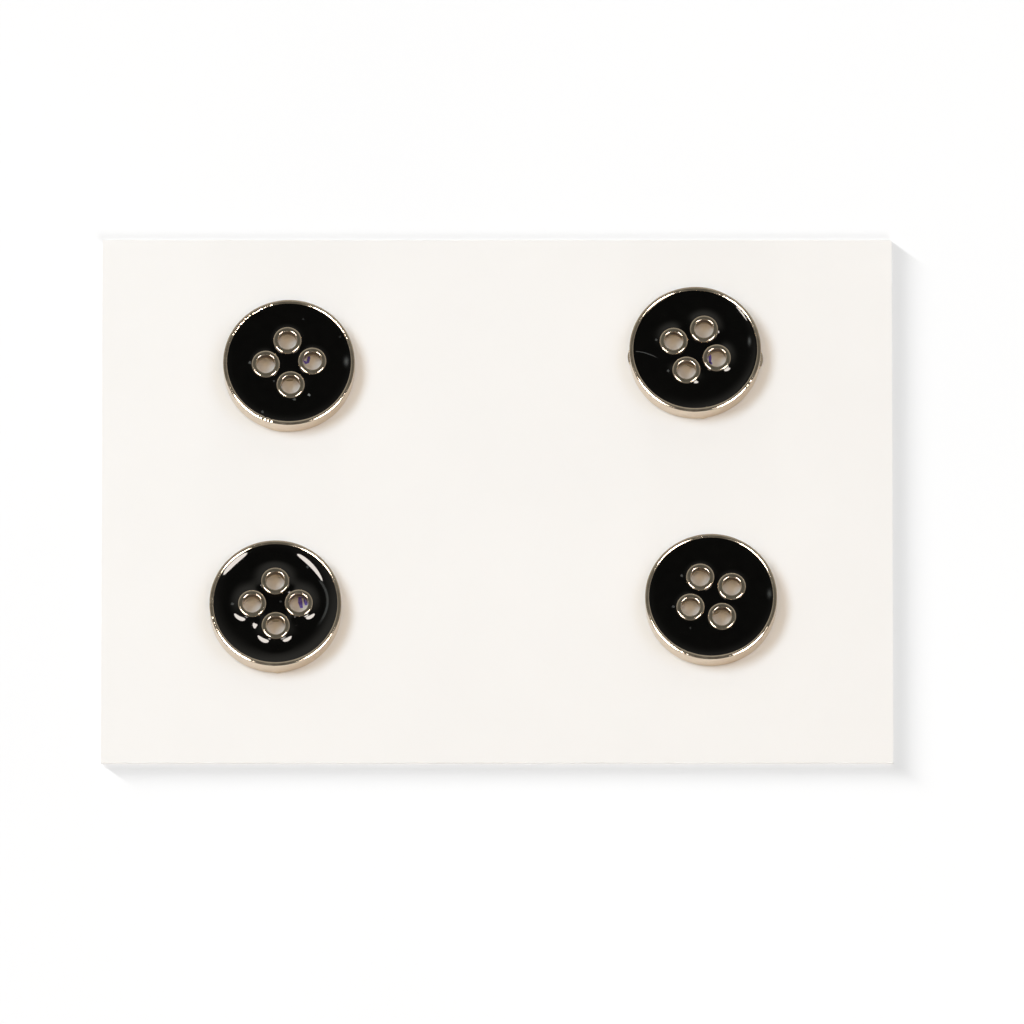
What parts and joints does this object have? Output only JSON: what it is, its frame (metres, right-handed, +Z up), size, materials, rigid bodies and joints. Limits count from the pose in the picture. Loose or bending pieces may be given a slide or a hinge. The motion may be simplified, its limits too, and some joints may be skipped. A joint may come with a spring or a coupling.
{
  "type": "card of buttons",
  "caption": "Plain flat card that holds round sew-through buttons, each a plated metal shell with raised collars round its sewing holes and a black enamel face.",
  "frame": {"origin": "centre of the card's underside, on the surface that the card lies on", "axes": "+X along the card's long edge, +Y along its short edge towards the back row of buttons, +Z up out of the buttons' faces"},
  "size_m": [0.09, 0.0624, 0.0032],
  "materials": {
    "card_stock": "matte off-white card",
    "plated_metal": "polished nickel plate on a casting",
    "black_enamel": "glossy black enamel",
    "clear_glue": "clear set glue"
  },
  "bodies": {
    "root": {"card": "card_stock", "back_left_shell": "plated_metal", "back_left_enamel": "black_enamel", "back_left_glue": "clear_glue", "back_right_shell": "plated_metal", "back_right_enamel": "black_enamel", "back_right_glue": "clear_glue", "front_left_shell": "plated_metal", "front_left_enamel": "black_enamel", "front_left_glue": "clear_glue", "front_right_shell": "plated_metal", "front_right_enamel": "black_enamel", "front_right_glue": "clear_glue"}
  },
  "joints": []
}
